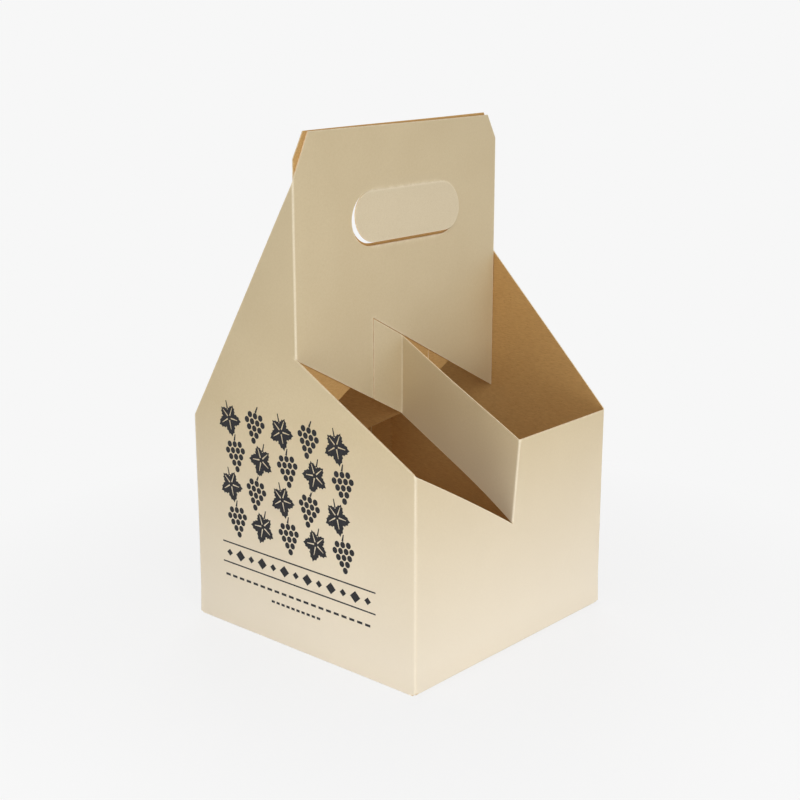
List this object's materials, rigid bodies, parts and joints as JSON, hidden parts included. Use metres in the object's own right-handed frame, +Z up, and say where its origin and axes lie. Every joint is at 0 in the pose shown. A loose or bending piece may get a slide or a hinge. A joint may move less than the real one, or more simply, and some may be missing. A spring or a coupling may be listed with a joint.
{
  "type": "bottle carrier box",
  "caption": "Open-top folded board carrier for bottles: square sleeve with raked rims, straps that part the bottles, and a tall central handle panel with a flapped hand hole.",
  "frame": {"origin": "centre of the square footprint, on the floor", "axes": "+Z up; the end wall with the high gable is at -Y, the side wall with the first strap at +X, the handle panel stands in the plane X = 0 along Y"},
  "size_m": [0.178, 0.178, 0.302],
  "materials": {
    "coated_board": "satin coated outside, brown kraft inside"
  },
  "bodies": {
    "carrier": {"carrier_board": "coated_board"},
    "hand_flap": {"hand_hole_flap": "coated_board"}
  },
  "joints": [
    {"name": "flap_hinge", "type": "hinge", "parent": "carrier", "child": "hand_flap", "pos_m": [0.0004, 0.004, 0.2635], "axis": [0, 1, 0], "range_deg": [-80, 88]}
  ]
}
